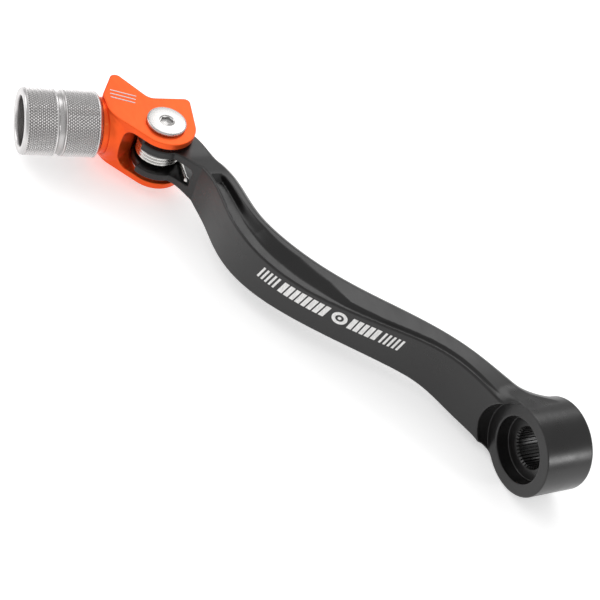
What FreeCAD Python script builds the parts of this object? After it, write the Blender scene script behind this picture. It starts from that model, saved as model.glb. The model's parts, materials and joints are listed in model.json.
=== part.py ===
"""Folding gear shift lever with a revolving toe barrel. Millimetres.

Frame: the origin is on the spline's axis, in the boss's outboard face. +X is towards the rear of the
machine, +Y inboard, towards the engine, and +Z up. The lever runs forwards (-X) and outboard (-Y), and
the fold pivot is parallel to Z.
"""
import FreeCAD, Part
import math
import os

from FreeCAD import Vector

# Splined boss
BOSS_RADIUS = 14.0
BOSS_LENGTH = 17.2
BOSS_BACK_ROUND = 1.2
COUNTERBORE_RADIUS = 10.0
COUNTERBORE_DEPTH = 4.6
SPLINE_TEETH = 36
SPLINE_TIP_RADIUS = 5.9
SPLINE_ROOT_RADIUS = 6.4
SPLINE_TIP_LAND = 0.6        # shares of a tooth's pitch, at its tip and at its root
SPLINE_ROOT_LAND = 0.16
SPOT_FACE_RADIUS = BOSS_RADIUS + 0.05
SPOT_FACE_REACH = 12.0
BOSS_END_START = -21.0       # the plane in X where the boss end meets the arm
CUT_OVER = 20.0              # how far a cutting shape runs past the metal

# Fold pivot, parallel to Z
PIVOT = Vector(-128.5, -72.2, 0)
FORK_ANGLE = 31.7            # direction from the pivot into the fork, from +X
FORK_LOBE_RADIUS = 8.0
FORK_HALF_HEIGHT = 6.4
LUG_RADIUS = 9.8             # the fork's outboard side, a lug that stops the fold
LUG_START = -0.5             # distances along the fork's direction
LUG_END = 8.8
FORK_NECK = (11.5, -3.7)     # where the lug's foot meets the arm: along the fork, and aside
SLOT_HALF_HEIGHT = 3.5
SLOT_END = 16.0
SLOT_CORNER = 1.2
BUSH_BORE_RADIUS = 5.0
SLOT_CUTTER_ROUND = 1.0
RUNNING_GAP = 0.05

# Tip bracket
BRACKET_HALF_HEIGHT = 10.0
EAR_INNER_HALF_HEIGHT = 7.6
EAR_RADIUS = 9.7
POCKET_RADIUS = 8.4
THROAT_END = -7.0
THROAT_ROUND = 3.5
WEB_FACE = -11.3              # the web's outboard face, across the fork from the pivot
COVE_RADIUS = 10.0
COVE_HALF_HEIGHT = 4.0       # half the flat between the cove's two rounded sides
COVE_START = -16.5           # where the cove's cutter starts, along the fork's direction
COVE_LENGTH = 60.0
STOP_GAP = 0.2

# Pivot hardware
SLEEVE_RADIUS = 4.0
BOLT_RADIUS = 3.0
BOLT_HEAD_RADIUS = 6.4
BOLT_HEAD_THICKNESS = 1.2
BOLT_HEAD_ROUND = 0.4
BOLT_SOCKET_FLATS = 3.0
BOLT_SOCKET_DEPTH = 2.4
BOLT_END_PROUD = 0.4         # past the nut
THRUST_WASHER_RADIUS = 7.2
NUT_FLATS = 10.0
NUT_HEIGHT = 2.6

# Fold spring
WIRE_RADIUS = 0.6
COIL_RADIUS = 6.8
COIL_TURNS = 4.25
COIL_PITCH = 1.23
COIL_RISE = 0.1
COIL_START_ANGLE = 58.4      # where the arm's leg leaves the coil, from the fork's direction
ARM_LEG = 11.8
TIP_LEG = 3.6

# Toe barrel, which turns about its own axis
BARREL_OFFSET = 8.4          # how far its axis passes in front of the pivot
BARREL_TURN = -5.65          # its axis, from -Y towards -X, in degrees
BARREL_RADIUS = 10.5
BARREL_START = 19.4          # distances along the barrel's axis, from the pivot
BARREL_END = 43.5
GROOVE_AT = 32.1
GROOVE_WIDTH = 2.2
GROOVE_DEPTH = 0.7
BARREL_CHAMFER = 0.7
MOUTH_RADIUS = 7.95
WEB_END = 28.6
NECK_RADIUS = 8.9
NECK_START = 15.0
NECK_END = 18.9
AXLE_SEAT = 29.6
AXLE_RADIUS = 4.0
AXLE_THREAD_RADIUS = 2.95
AXLE_THREAD_START = 10.0
AXLE_THREAD_BOTTOM = 9.5     # the end of the bracket's tapped hole
AXLE_HEAD_RADIUS = 6.2
AXLE_HEAD_HEIGHT = 3.4
AXLE_SOCKET_FLATS = 5.0
AXLE_SOCKET_DEPTH = 2.6
INNER_BUSH_END = 24.6
OUTER_BUSH_START = 25.2
WASHER_PLAY = 0.08
INNER_WASHER_RADIUS = 7.6
OUTER_WASHER_RADIUS = 7.0
OUTER_WASHER_END = 29.2
WAVE_WASHER_RADIUS = 6.4
SEAL_POCKET_RADIUS = 6.0
SEAL_POCKET_DEPTH = 2.0
SEAL_WIRE_RADIUS = 0.85
SEAL_PLAY = 0.1

UP = Vector(0, 0, 1)
FORK_WAY = Vector(math.cos(math.radians(FORK_ANGLE)), math.sin(math.radians(FORK_ANGLE)), 0)
FORK_SIDE = Vector(-FORK_WAY.y, FORK_WAY.x, 0)
BARREL_WAY = Vector(math.sin(math.radians(BARREL_TURN)), -math.cos(math.radians(BARREL_TURN)), 0)
BARREL_SIDE = Vector(-BARREL_WAY.y, BARREL_WAY.x, 0)
BARREL_ORIGIN = PIVOT - BARREL_SIDE * BARREL_OFFSET


# Helpers

def from_pivot(along, aside, height=0.0):
    """A point by its distance along the fork's direction and to its inboard side."""
    return PIVOT + FORK_WAY * along + FORK_SIDE * aside + UP * height


def on_barrel_axis(distance):
    return BARREL_ORIGIN + BARREL_WAY * distance


def disc(radius, bottom, top):
    """A cylinder about the fold pivot."""
    return Part.makeCylinder(radius, top - bottom, PIVOT + UP * bottom, UP)


def ring(outer, inner, bottom, top):
    return disc(outer, bottom, top).cut(disc(inner, bottom, top))


def barrel_disc(radius, start, end):
    """A cylinder about the barrel's axis."""
    return Part.makeCylinder(radius, end - start, on_barrel_axis(start), BARREL_WAY)


def barrel_ring(outer, inner, start, end):
    return barrel_disc(outer, start, end).cut(barrel_disc(inner, start, end))


def hexagon(centre, axis, flats, height):
    """A hexagonal prism, by its width across flats."""
    turn = FreeCAD.Rotation(UP, axis)
    corner = flats / math.sqrt(3)
    angles = [math.radians(60 * step) for step in range(7)]
    points = [centre + turn.multVec(Vector(corner * math.cos(a), corner * math.sin(a), 0)) for a in angles]
    return Part.Face(Part.makePolygon(points)).extrude(axis * height)


def rounded_outline(corners):
    """A closed flat wire through corners (x, y, radius), each one rounded by an arc."""
    edges = []
    previous_end = None
    first_start = None
    count = len(corners)
    for index, (x, y, radius) in enumerate(corners):
        corner = Vector(x, y, 0)
        before = Vector(*corners[index - 1][:2], 0) - corner
        after = Vector(*corners[(index + 1) % count][:2], 0) - corner
        before.normalize()
        after.normalize()
        half_angle = before.getAngle(after) / 2
        reach = radius / math.tan(half_angle)
        middle_way = (before + after).normalize()
        start = corner + before * reach
        end = corner + after * reach
        middle = corner + middle_way * (radius / math.sin(half_angle) - radius)
        if previous_end is not None:
            edges.append(Part.LineSegment(previous_end, start).toShape())
        edges.append(Part.Arc(start, middle, end).toShape())
        first_start = first_start or start
        previous_end = end
    edges.append(Part.LineSegment(previous_end, first_start).toShape())
    return Part.Wire(edges)


def across_fork(corners, width):
    """A prism across the fork from well outboard, on corners (distance along the fork, height, radius)."""
    flat = rounded_outline(corners)
    turn = FreeCAD.Rotation(FORK_WAY, UP, FORK_SIDE * -1, "XYZ")
    flat.Placement = FreeCAD.Placement(from_pivot(0, -CUT_OVER), turn)
    return Part.Face(flat).extrude(FORK_SIDE * width)


def smooth_edge(points):
    curve = Part.BSplineCurve()
    curve.interpolate(points)
    return curve.toShape()


def upright(wire, bottom, top):
    """A prism on a flat wire in the XY plane."""
    return Part.Face(wire).extrude(UP * (top - bottom)).translate(UP * bottom)


def export(name, shape):
    shape.exportStep("parts/" + name + ".step")


# The lever

# The outboard face and the inboard side in plan, from the fork to the boss
OUTBOARD_FACE = [(-111.0, -65.1), (-104.3, -63.9), (-90.0, -63.4), (-77.0, -60.2), (-56.6, -44.6),
                 (-40.0, -24.0), (-31.5, -14.8), (-20.3, -8.0), (-10.0, -3.6)]
INBOARD_SIDE = [(-113.6, -55.6), (-102.1, -53.5), (-91.4, -51.6), (-79.2, -45.4), (-66.4, -34.6),
                (-48.1, -14.9), (-35.2, -4.2), (-24.2, 2.2), (-8.0, 12.0)]
# Half the lever's height over X
HALF_HEIGHT = [(-116.5, FORK_HALF_HEIGHT), (-109.0, 8.1), (-100.0, 8.6), (-82.0, 8.2), (-57.0, 7.0),
               (-40.0, 8.0), (-26.0, 9.1), (-10.0, 8.8)]
BAND_START = -95.0           # the band between those heights, in Y
BAND_WIDTH = 120.0
CHANNEL_RIM = 1.3
CHANNEL_DEPTH = 2.2
# Points of the outboard face beside the channel's two ends, and the channel's inner side
CHANNEL_ENDS = [(-106.0, -64.2), (-54.5, -41.6)]
CHANNEL_RIM_POINTS = 7
CHANNEL_INNER = [(-104.0, -59.0), (-93.0, -57.6), (-75.8, -51.1), (-63.8, -41.2), (-53.5, -37.9)]


def tangent_point(outside):
    """Where the line from an outside point touches the fork's lobe, on its inboard side."""
    way = outside - PIVOT
    spread = math.acos(FORK_LOBE_RADIUS / way.Length)
    turn = FreeCAD.Rotation(UP, math.degrees(spread))
    return PIVOT + turn.multVec(way.normalize()) * FORK_LOBE_RADIUS


def on_outboard_side(along, radius):
    """The point of a circle about the pivot that is on its outboard side, so far along the fork."""
    return from_pivot(along, -math.sqrt(radius ** 2 - along ** 2))


def lever_plan():
    """The lever seen from above: the fork's lobe, two smooth sides, and an end inside the boss."""
    outboard = [Vector(x, y, 0) for x, y in OUTBOARD_FACE]
    inboard = [Vector(x, y, 0) for x, y in INBOARD_SIDE]
    touch = tangent_point(inboard[0])
    nose = PIVOT - FORK_WAY * FORK_LOBE_RADIUS
    lug_root = on_outboard_side(LUG_START, FORK_LOBE_RADIUS)
    lug_tip = on_outboard_side(LUG_START, LUG_RADIUS)
    lug_middle = on_outboard_side((LUG_START + LUG_END) / 2, LUG_RADIUS)
    lug_end = on_outboard_side(LUG_END, LUG_RADIUS)
    neck = from_pivot(*FORK_NECK)
    return Part.Wire([
        Part.Arc(touch, nose, lug_root).toShape(),
        Part.LineSegment(lug_root, lug_tip).toShape(),
        Part.Arc(lug_tip, lug_middle, lug_end).toShape(),
        Part.LineSegment(lug_end, neck).toShape(),
        Part.LineSegment(neck, outboard[0]).toShape(),
        smooth_edge(outboard),
        Part.LineSegment(outboard[-1], inboard[-1]).toShape(),
        smooth_edge(inboard[::-1]),
        Part.LineSegment(inboard[0], touch).toShape(),
    ])


def height_band(inset=0.0, sign=1):
    """The space from the lever's middle plane up to its top, less an inset, as a prism along Y."""
    nose = PIVOT.x - FORK_LOBE_RADIUS - 1
    far = HALF_HEIGHT[-1]
    crest = [Vector(x, 0, sign * (height - inset)) for x, height in HALF_HEIGHT]
    level = Vector(nose, 0, crest[0].z)
    wire = Part.Wire([
        Part.LineSegment(Vector(nose, 0, 0), level).toShape(),
        Part.LineSegment(level, crest[0]).toShape(),
        smooth_edge(crest),
        Part.LineSegment(crest[-1], Vector(far[0], 0, 0)).toShape(),
        Part.LineSegment(Vector(far[0], 0, 0), Vector(nose, 0, 0)).toShape(),
    ])
    return Part.Face(wire).extrude(Vector(0, BAND_WIDTH, 0)).translate(Vector(0, BAND_START, 0))


def channel(sign):
    """The hollow in the lever's top (1) or underside (-1), beside the outboard rim."""
    face_curve = smooth_edge([Vector(x, y, 0) for x, y in OUTBOARD_FACE]).Curve
    start, end = [face_curve.parameter(Vector(x, y, 0)) for x, y in CHANNEL_ENDS]
    rim = []
    for step in range(CHANNEL_RIM_POINTS):
        place = start + (end - start) * step / (CHANNEL_RIM_POINTS - 1)
        along = face_curve.tangent(place)[0]
        rim.append(face_curve.value(place) + Vector(-along.y, along.x, 0) * CHANNEL_RIM)
    inner = [Vector(x, y, 0) for x, y in CHANNEL_INNER]
    wire = Part.Wire([
        smooth_edge(rim),
        Part.LineSegment(rim[-1], inner[-1]).toShape(),
        smooth_edge(inner[::-1]),
        Part.LineSegment(inner[0], rim[0]).toShape(),
    ])
    bottom, top = sorted((0, sign * CUT_OVER))
    return upright(wire, bottom, top).cut(height_band(CHANNEL_DEPTH, sign))


def splined_hole():
    """The serrated hole along Y: each tooth has a flat tip on the small radius and a root on the large."""
    pitch = 2 * math.pi / SPLINE_TEETH
    land = pitch * SPLINE_TIP_LAND
    root = pitch * SPLINE_ROOT_LAND
    flank = (pitch - land - root) / 2
    edges = []

    def at(radius, angle):
        return Vector(radius * math.cos(angle), COUNTERBORE_DEPTH, radius * math.sin(angle))

    for tooth in range(SPLINE_TEETH):
        a = tooth * pitch
        b, c, d, e = a + land, a + land + flank, a + land + flank + root, a + pitch
        tip, base = SPLINE_TIP_RADIUS, SPLINE_ROOT_RADIUS
        edges.append(Part.Arc(at(tip, a), at(tip, (a + b) / 2), at(tip, b)).toShape())
        edges.append(Part.LineSegment(at(tip, b), at(base, c)).toShape())
        edges.append(Part.Arc(at(base, c), at(base, (c + d) / 2), at(base, d)).toShape())
        edges.append(Part.LineSegment(at(base, d), at(tip, e)).toShape())
    return Part.Face(Part.Wire(edges)).extrude(Vector(0, BOSS_LENGTH, 0))


def boss():
    inboard = Vector(0, 1, 0)
    body = Part.makeCylinder(BOSS_RADIUS, BOSS_LENGTH, Vector(0, 0, 0), inboard)
    back_edge = [edge for edge in body.Edges if abs(edge.CenterOfMass.y - BOSS_LENGTH) < 0.01]
    return body.makeFillet(BOSS_BACK_ROUND, back_edge)


def lever():
    full_height = height_band().fuse(height_band(0.0, -1)).removeSplitter()
    arm = upright(lever_plan(), -CUT_OVER, CUT_OVER).common(full_height)
    for sign in (1, -1):
        arm = arm.cut(channel(sign))
    spot_face = Part.makeCylinder(SPOT_FACE_RADIUS, SPOT_FACE_REACH, Vector(0, 0, 0), Vector(0, -1, 0))
    arm = arm.cut(spot_face).fuse(boss()).removeSplitter()
    counterbore = Part.makeCylinder(COUNTERBORE_RADIUS, COUNTERBORE_DEPTH, Vector(0, 0, 0), Vector(0, 1, 0))
    arm = arm.cut(counterbore).cut(splined_hole())
    return arm.cut(spring_slot()).cut(disc(BUSH_BORE_RADIUS, -CUT_OVER, CUT_OVER))


def lever_side(shape, sign):
    """The lever's part on one side of the plane between the arm (-1) and the boss end (1)."""
    length = 200.0
    start = BOSS_END_START if sign > 0 else BOSS_END_START - length
    return shape.common(Part.makeBox(length, length, length, Vector(start, -length / 2, -length / 2)))


def spring_slot():
    """The slot across the fork, with rounded corners at its closed end."""
    height = SLOT_HALF_HEIGHT
    start = -CUT_OVER
    corners = [(start, -height, SLOT_CUTTER_ROUND), (SLOT_END, -height, SLOT_CORNER),
               (SLOT_END, height, SLOT_CORNER), (start, height, SLOT_CUTTER_ROUND)]
    return across_fork(corners, 2 * CUT_OVER)


def fork_bush(sign):
    low, high = sorted((sign * (SLOT_HALF_HEIGHT + RUNNING_GAP), sign * FORK_HALF_HEIGHT))
    return ring(BUSH_BORE_RADIUS, SLEEVE_RADIUS + RUNNING_GAP, low, high)


# The tip bracket

# The bracket seen from above, about the pivot: x, y and the corner's radius
BRACKET_OUTLINE = [(-24.6, -10.9, 2.0), (-13.9, -17.0, 0.8), (-5.2, -17.0, 11.0), (22.7, 6.4, EAR_RADIUS),
                   (-11.1, 11.5, 1.8), (-11.8, -2.1, 4.0)]
BRACKET_EDGE_CHAMFER = 0.35


def bracket_block():
    outline = [(PIVOT.x + x, PIVOT.y + y, radius) for x, y, radius in BRACKET_OUTLINE]
    block = upright(rounded_outline(outline), -BRACKET_HALF_HEIGHT, BRACKET_HALF_HEIGHT)
    rims = [edge for edge in block.Edges if abs(abs(edge.CenterOfMass.z) - BRACKET_HALF_HEIGHT) < 0.01]
    return block.makeChamfer(BRACKET_EDGE_CHAMFER, rims)


def throat():
    """The space between the ears: a round pocket for the fork, open to the rear and outboard."""
    height = EAR_INNER_HALF_HEIGHT
    pocket = disc(POCKET_RADIUS, -height, height)
    corners = [(THROAT_END, -height, THROAT_ROUND), (CUT_OVER, -height, SLOT_CUTTER_ROUND),
               (CUT_OVER, height, SLOT_CUTTER_ROUND), (THROAT_END, height, THROAT_ROUND)]
    outboard_side = across_fork(corners, CUT_OVER)
    rear = Part.makeBox(CUT_OVER, CUT_OVER + FORK_LOBE_RADIUS + STOP_GAP, 2 * height)
    rear.Placement = FreeCAD.Placement(from_pivot(0, -CUT_OVER, -height), FreeCAD.Rotation(UP, FORK_ANGLE))
    return pocket.fuse(outboard_side).fuse(rear)


def cove():
    """The cutter that leaves the web's flat outboard face, with a rounded side under each ear."""
    side = WEB_FACE - COVE_RADIUS
    low, high = [Part.makeCylinder(COVE_RADIUS, COVE_LENGTH, from_pivot(COVE_START, side, height), FORK_WAY)
                 for height in (-COVE_HALF_HEIGHT, COVE_HALF_HEIGHT)]
    flat = Part.makeBox(COVE_LENGTH, COVE_RADIUS, 2 * COVE_HALF_HEIGHT)
    corner = from_pivot(COVE_START, side, -COVE_HALF_HEIGHT)
    flat.Placement = FreeCAD.Placement(corner, FreeCAD.Rotation(UP, FORK_ANGLE))
    return low.fuse([high, flat]).removeSplitter()


def tip_bracket():
    body = bracket_block().cut(cove())
    body = body.fuse(barrel_disc(NECK_RADIUS, NECK_START, NECK_END)).cut(throat())
    body = body.cut(disc(BOLT_RADIUS + RUNNING_GAP, -CUT_OVER, CUT_OVER))
    tapped_hole = barrel_disc(AXLE_THREAD_RADIUS, AXLE_THREAD_BOTTOM, CUT_OVER)
    return body.cut(tapped_hole).removeSplitter()


# Pivot hardware

def pivot_bolt():
    """A round flat head with a hex socket, and a shank that reaches through the nut."""
    top = BRACKET_HALF_HEIGHT + BOLT_HEAD_THICKNESS
    head = disc(BOLT_HEAD_RADIUS, BRACKET_HALF_HEIGHT, top)
    rim = [edge for edge in head.Edges if abs(edge.CenterOfMass.z - top) < 0.01]
    head = head.makeFillet(BOLT_HEAD_ROUND, rim)
    shank = disc(BOLT_RADIUS, -BRACKET_HALF_HEIGHT - NUT_HEIGHT - BOLT_END_PROUD, BRACKET_HALF_HEIGHT)
    socket = hexagon(PIVOT + UP * (top - BOLT_SOCKET_DEPTH), UP, BOLT_SOCKET_FLATS, BOLT_SOCKET_DEPTH)
    return head.fuse(shank).cut(socket).removeSplitter()


def pivot_nut():
    bottom = -BRACKET_HALF_HEIGHT - NUT_HEIGHT
    nut = hexagon(PIVOT + UP * bottom, UP, NUT_FLATS, NUT_HEIGHT)
    return nut.cut(disc(BOLT_RADIUS, bottom, bottom + NUT_HEIGHT))


def thrust_washer(sign):
    low, high = sorted((sign * (FORK_HALF_HEIGHT + RUNNING_GAP), sign * EAR_INNER_HALF_HEIGHT))
    return ring(THRUST_WASHER_RADIUS, SLEEVE_RADIUS + RUNNING_GAP, low, high)


def fold_spring():
    """A torsion spring round the sleeve: one leg lies along the slot, the other reaches the bracket."""
    height = COIL_TURNS * COIL_PITCH
    helix = Part.makeHelix(COIL_PITCH, height, COIL_RADIUS)
    start = Vector(COIL_RADIUS, 0, 0)
    slope = Vector(0, 1, COIL_PITCH / (2 * math.pi * COIL_RADIUS))
    section = Part.Wire(Part.makeCircle(WIRE_RADIUS, start, slope))
    coil = Part.Wire(helix.Edges).makePipeShell([section], True, True)
    top_turn = FreeCAD.Rotation(UP, 360 * COIL_TURNS)
    top_end = top_turn.multVec(start) + UP * height
    arm_leg = Part.makeCylinder(WIRE_RADIUS, ARM_LEG, start, slope * -1)
    tip_leg = Part.makeCylinder(WIRE_RADIUS, TIP_LEG, top_end, top_turn.multVec(slope))
    spring = coil.fuse([arm_leg, tip_leg])
    turn = FreeCAD.Rotation(UP, FORK_ANGLE + COIL_START_ANGLE)
    spring.Placement = FreeCAD.Placement(PIVOT - UP * (height / 2 - COIL_RISE), turn)
    return spring


# The toe barrel and what is inside it

def tip_barrel():
    body = barrel_disc(BARREL_RADIUS, BARREL_START, BARREL_END)
    ends = [edge for edge in body.Edges if edge.Closed]
    body = body.makeChamfer(BARREL_CHAMFER, ends)
    groove = barrel_ring(BARREL_RADIUS + GROOVE_DEPTH, BARREL_RADIUS - GROOVE_DEPTH,
                         GROOVE_AT - GROOVE_WIDTH / 2, GROOVE_AT + GROOVE_WIDTH / 2)
    mouth = barrel_disc(MOUTH_RADIUS, WEB_END, BARREL_END)
    bush_hole = barrel_disc(BUSH_BORE_RADIUS, BARREL_START, WEB_END)
    seal_pocket = barrel_disc(SEAL_POCKET_RADIUS, BARREL_START, BARREL_START + SEAL_POCKET_DEPTH)
    return body.cut(groove).cut(mouth).cut(bush_hole).cut(seal_pocket)


def barrel_bush(start, end):
    return barrel_ring(BUSH_BORE_RADIUS, AXLE_RADIUS + RUNNING_GAP, start, end)


def barrel_axle():
    """A shoulder bolt: threaded end, plain shoulder, and a head with a hex socket."""
    end = AXLE_SEAT + AXLE_HEAD_HEIGHT
    thread = barrel_disc(AXLE_THREAD_RADIUS, AXLE_THREAD_START, NECK_END)
    shoulder = barrel_disc(AXLE_RADIUS, NECK_END, AXLE_SEAT)
    head = barrel_disc(AXLE_HEAD_RADIUS, AXLE_SEAT, end)
    floor = on_barrel_axis(end - AXLE_SOCKET_DEPTH)
    socket = hexagon(floor, BARREL_WAY, AXLE_SOCKET_FLATS, AXLE_SOCKET_DEPTH)
    return thread.fuse(shoulder).fuse(head).cut(socket)


def wave_washer():
    """The spring washer under the axle's head, as the flat ring it is when pressed down."""
    start = OUTER_WASHER_END + RUNNING_GAP
    return barrel_ring(WAVE_WASHER_RADIUS, AXLE_RADIUS + RUNNING_GAP, start, AXLE_SEAT)


def barrel_o_ring():
    centre = on_barrel_axis(BARREL_START + SEAL_WIRE_RADIUS + SEAL_PLAY)
    return Part.makeTorus(AXLE_RADIUS + SEAL_WIRE_RADIUS + RUNNING_GAP, SEAL_WIRE_RADIUS, centre, BARREL_WAY)


os.makedirs("parts", exist_ok=True)
whole_lever = lever()
export("lever_arm", lever_side(whole_lever, -1))
export("boss_end", lever_side(whole_lever, 1))
export("upper_fork_bush", fork_bush(1))
export("lower_fork_bush", fork_bush(-1))
export("tip_bracket", tip_bracket())
export("pivot_bolt", pivot_bolt())
export("pivot_nut", pivot_nut())
export("pivot_sleeve", ring(SLEEVE_RADIUS, BOLT_RADIUS, -EAR_INNER_HALF_HEIGHT, EAR_INNER_HALF_HEIGHT))
export("upper_thrust_washer", thrust_washer(1))
export("lower_thrust_washer", thrust_washer(-1))
export("fold_spring", fold_spring())
export("tip_barrel", tip_barrel())
export("inner_barrel_bush", barrel_bush(BARREL_START + SEAL_POCKET_DEPTH, INNER_BUSH_END))
export("outer_barrel_bush", barrel_bush(OUTER_BUSH_START, WEB_END))
export("barrel_axle", barrel_axle())
export("inner_thrust_washer",
       barrel_ring(INNER_WASHER_RADIUS, AXLE_RADIUS, NECK_END, BARREL_START - WASHER_PLAY))
export("outer_thrust_washer",
       barrel_ring(OUTER_WASHER_RADIUS, AXLE_RADIUS, WEB_END + WASHER_PLAY, OUTER_WASHER_END))
export("wave_washer", wave_washer())
export("barrel_o_ring", barrel_o_ring())
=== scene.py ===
"""Looks of the folding gear shift lever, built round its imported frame. Lengths of the shapes are in
millimetres and are turned into metres where a mesh is made. Lights, camera and floor are in metres."""
import json
import math

import bmesh
import bpy
import numpy as np
from mathutils import Matrix, Vector


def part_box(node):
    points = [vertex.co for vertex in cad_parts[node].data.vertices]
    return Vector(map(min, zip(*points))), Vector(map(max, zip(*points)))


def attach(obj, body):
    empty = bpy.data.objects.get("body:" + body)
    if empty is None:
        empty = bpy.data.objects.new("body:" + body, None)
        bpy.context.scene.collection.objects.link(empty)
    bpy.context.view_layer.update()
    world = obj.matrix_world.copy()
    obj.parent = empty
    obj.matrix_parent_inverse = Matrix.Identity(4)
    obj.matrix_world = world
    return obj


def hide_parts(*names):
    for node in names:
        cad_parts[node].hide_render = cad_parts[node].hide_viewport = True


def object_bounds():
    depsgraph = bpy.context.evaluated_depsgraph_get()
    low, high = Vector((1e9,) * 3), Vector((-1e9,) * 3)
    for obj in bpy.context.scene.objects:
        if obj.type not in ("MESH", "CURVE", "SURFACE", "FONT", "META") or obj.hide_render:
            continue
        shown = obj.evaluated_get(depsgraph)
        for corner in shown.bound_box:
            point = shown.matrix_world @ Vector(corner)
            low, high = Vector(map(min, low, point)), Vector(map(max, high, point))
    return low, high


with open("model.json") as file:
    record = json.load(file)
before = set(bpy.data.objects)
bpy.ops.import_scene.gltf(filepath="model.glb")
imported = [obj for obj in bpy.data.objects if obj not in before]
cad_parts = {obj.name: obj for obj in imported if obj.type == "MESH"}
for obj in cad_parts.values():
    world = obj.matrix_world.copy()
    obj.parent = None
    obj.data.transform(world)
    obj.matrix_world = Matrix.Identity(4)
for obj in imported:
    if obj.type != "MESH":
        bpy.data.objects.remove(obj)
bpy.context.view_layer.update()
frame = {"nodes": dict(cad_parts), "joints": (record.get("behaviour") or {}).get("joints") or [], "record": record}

MM = 0.001
JOINTS = {joint["name"]: joint for joint in frame["joints"]}
PIVOT = np.array(JOINTS["tip_fold"]["pos_m"]) / MM
BARREL_AXIS = np.array(JOINTS["tip_roll"]["axis"], float)
BARREL_AXIS = BARREL_AXIS / np.linalg.norm(BARREL_AXIS)
BARREL_MIDDLE = np.array(JOINTS["tip_roll"]["pos_m"]) / MM


def box_mm(node):
    """A node's lowest and highest corners at rest."""
    low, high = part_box(node)
    return np.array(low) / MM, np.array(high) / MM


# -------- mesh tools

def linked(name, data):
    """A new object in the scene."""
    placed = bpy.data.objects.new(name, data)
    bpy.context.scene.collection.objects.link(placed)
    return placed


def new_object(name, mesh, material):
    mesh.materials.append(material)
    return linked(name, mesh)


def mesh_from_faces(name, points, quads, triangles=()):
    """A smooth mesh from points in millimetres and arrays of four- and three-cornered faces."""
    mesh = bpy.data.meshes.new(name)
    quads = np.asarray(quads, np.int32).reshape(-1, 4)
    triangles = np.asarray(triangles, np.int32).reshape(-1, 3)
    mesh.vertices.add(len(points))
    mesh.vertices.foreach_set("co", (np.asarray(points, float) * MM).ravel())
    mesh.loops.add(quads.size + triangles.size)
    mesh.loops.foreach_set("vertex_index", np.concatenate([quads.ravel(), triangles.ravel()]))
    mesh.polygons.add(len(quads) + len(triangles))
    starts = np.concatenate([np.arange(len(quads)) * 4, quads.size + np.arange(len(triangles)) * 3])
    mesh.polygons.foreach_set("loop_start", starts.astype(np.int32))
    mesh.polygons.foreach_set("use_smooth", np.ones(len(starts), bool))
    mesh.update(calc_edges=True)
    mesh.validate()
    return mesh


def smooth_curve(knots, count):
    """A natural cubic spline through the knots, spaced by chord length, as count points."""
    knots = np.array(knots, float)
    place = np.concatenate([[0], np.cumsum(np.linalg.norm(np.diff(knots, axis=0), axis=1))])
    return spline_values(place, knots, np.linspace(0, place[-1], count))


def spline_values(place, values, at):
    """The natural cubic spline of values over place, read at the places in at."""
    place, values, at = np.array(place, float), np.array(values, float), np.array(at, float)
    flat = values.ndim == 1
    values = values.reshape(len(place), -1)
    step = np.diff(place)
    size = len(place)
    matrix = np.eye(size)
    right = np.zeros_like(values)
    for i in range(1, size - 1):
        matrix[i, i - 1:i + 2] = step[i - 1], 2 * (step[i - 1] + step[i]), step[i]
        right[i] = 6 * ((values[i + 1] - values[i]) / step[i] - (values[i] - values[i - 1]) / step[i - 1])
    bend = np.linalg.solve(matrix, right)
    cell = np.clip(np.searchsorted(place, at) - 1, 0, size - 2)
    width = step[cell][:, None]
    ahead = (place[cell + 1] - at)[:, None]
    behind = (at - place[cell])[:, None]
    result = (bend[cell] * ahead ** 3 + bend[cell + 1] * behind ** 3) / (6 * width)
    result += (values[cell] / width - bend[cell] * width / 6) * ahead
    result += (values[cell + 1] / width - bend[cell + 1] * width / 6) * behind
    return result[:, 0] if flat else result


# -------- solids as distance fields

def smoothstep(low, high, value):
    t = np.clip((value - low) / (high - low), 0, 1)
    return t * t * (3 - 2 * t)


def meet(a, b, radius):
    """The common part of two distance fields, with its edge rounded."""
    ahead = np.maximum(a + radius, 0)
    beside = np.maximum(b + radius, 0)
    return np.minimum(np.maximum(a, b), -radius) + np.sqrt(ahead * ahead + beside * beside)


def join(a, b, radius):
    """Both distance fields together, with a fillet between them."""
    return -meet(-a, -b, radius)


def span(value, start, end):
    """The distance outside the stretch from start to end."""
    return np.abs(value - (start + end) / 2) - (end - start) / 2


def carve(a, b, radius):
    """Field a without field b, with a rounded edge."""
    return meet(a, -b, radius)


PLAN_BLOCK = 4000        # grid points measured at a time, to save memory
NORMAL_REACH = 0.25      # how far to each side a slope is read, as a share of a cell
SETTLE_PASSES = 2        # how often mesh points are moved onto the surface
SETTLE_LIMIT = 0.5       # the longest such move, as a share of a cell
CELL_CORNERS = np.array([(i, j, k) for i in (0, 1) for j in (0, 1) for k in (0, 1)])
CELL_EDGES = [(a, b) for a in range(8) for b in range(a + 1, 8)
              if np.abs(CELL_CORNERS[a] - CELL_CORNERS[b]).sum() == 1]


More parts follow.
